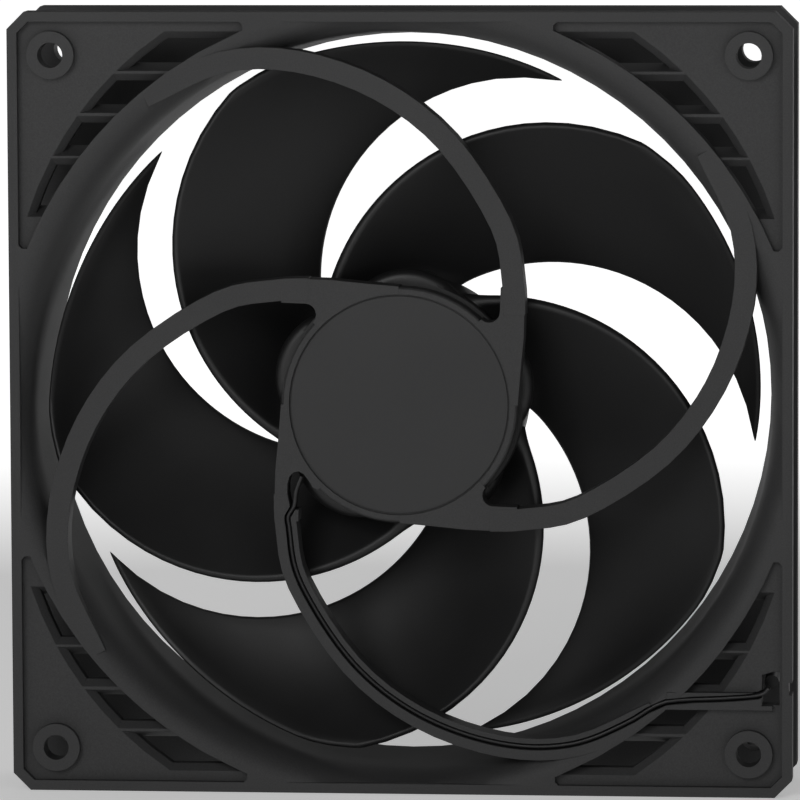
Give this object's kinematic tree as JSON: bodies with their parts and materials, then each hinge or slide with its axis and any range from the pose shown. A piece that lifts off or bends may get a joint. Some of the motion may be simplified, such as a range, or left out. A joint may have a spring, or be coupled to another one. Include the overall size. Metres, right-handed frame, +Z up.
{
  "type": "case fan",
  "caption": "Square axial case fan with a swept-strut frame, louvred corners, a swept-blade impeller, its brushless motor and a coiled lead with a flat connector.",
  "frame": {"origin": "on the rotor's axis, midway between the front and rear faces", "axes": "+Z up, the fan standing on its bottom edge; +Y along the rotor's axis towards the intake side; -Y towards the strut side; +X right as seen from the strut side"},
  "size_m": [0.14, 0.0582, 0.14],
  "materials": {
    "frame_plastic": "matte charcoal, fine grain",
    "blade_plastic": "black, soft sheen",
    "label_film": "matte dark film",
    "steel": "bright",
    "brass": "plain",
    "bronze": "sintered bronze, oiled",
    "ferrite": "plastic-bonded ferrite, matte",
    "electrical_steel": "stamped laminations",
    "insulator_plastic": "natural nylon",
    "copper": "enamelled copper wire",
    "board": "green solder mask",
    "chip": "moulded black epoxy",
    "lead_jacket": "black flexible jacket",
    "connector_plastic": "black nylon"
  },
  "bodies": {
    "frame": {"bearing_sleeve": "bronze", "capacitor": "insulator_plastic", "circuit_board": "board", "coil_1": "copper", "coil_2": "copper", "coil_3": "copper", "coil_4": "copper", "connector_housing": "connector_plastic", "contact_1": "brass", "contact_2": "brass", "contact_3": "brass", "contact_4": "brass", "driver_chip": "chip", "frame": "frame_plastic", "free_lead": "lead_jacket", "hall_sensor": "chip", "lead_coil": "lead_jacket", "lower_insulator": "insulator_plastic", "motor_label": "label_film", "motor_lead": "lead_jacket", "oil_seal": "insulator_plastic", "resistor": "chip", "stator_core": "electrical_steel", "thrust_plate": "insulator_plastic", "upper_insulator": "insulator_plastic", "winding_pin_1": "brass", "winding_pin_2": "brass", "winding_pin_3": "brass"},
    "impeller": {"impeller": "blade_plastic", "rotor_yoke": "steel", "rotor_magnet": "ferrite", "shaft": "steel", "shaft_boss": "brass", "retaining_clip": "steel"}
  },
  "joints": [
    {"name": "impeller_spin", "type": "hinge", "parent": "frame", "child": "impeller", "pos_m": [0, 0, 0], "axis": [0, 1, 0], "continuous": true}
  ]
}
